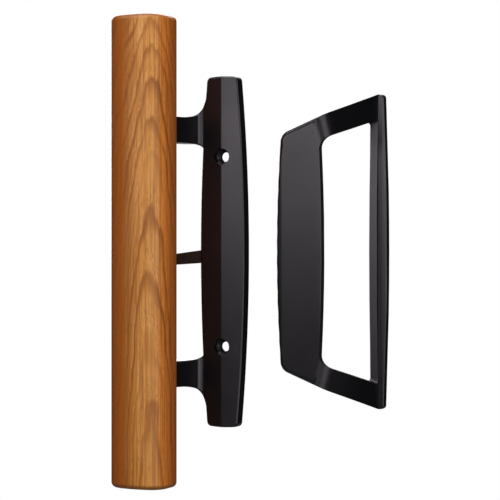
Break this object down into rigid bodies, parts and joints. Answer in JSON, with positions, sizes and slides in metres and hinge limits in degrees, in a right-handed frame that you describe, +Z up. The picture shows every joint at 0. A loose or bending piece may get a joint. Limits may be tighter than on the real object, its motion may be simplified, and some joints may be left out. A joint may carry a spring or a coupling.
{
  "type": "patio door handle set",
  "caption": "Sliding patio door handle set: inside plate with wood grip and latch lever, and a slim outside pull with a finger window.",
  "frame": {"origin": "middle of the inside plate's two-screw pattern, on the plane of the door face", "axes": "+X along the door face towards the outside pull, -Y away from the door towards the hand, +Z up"},
  "size_m": [0.1377, 0.074, 0.243],
  "materials": {
    "black_casting": "satin",
    "oiled_wood": "satin lacquer",
    "dark_lever": "satin",
    "plated_steel": "zinc plated"
  },
  "bodies": {
    "handles": {"interior_plate": "black_casting", "wood_grip": "oiled_wood", "grip_screw_upper": "plated_steel", "grip_screw_lower": "plated_steel", "lever_washer": "plated_steel", "lever_retainer": "plated_steel", "retainer_screws": "plated_steel", "exterior_pull": "black_casting"},
    "lever": {"latch_lever": "dark_lever", "tailpiece": "plated_steel"}
  },
  "joints": [
    {"name": "lever_turn", "type": "hinge", "parent": "handles", "child": "lever", "pos_m": [0, -0.002, 0], "axis": [0, 1, 0], "range_deg": [-26, 36.5]}
  ]
}
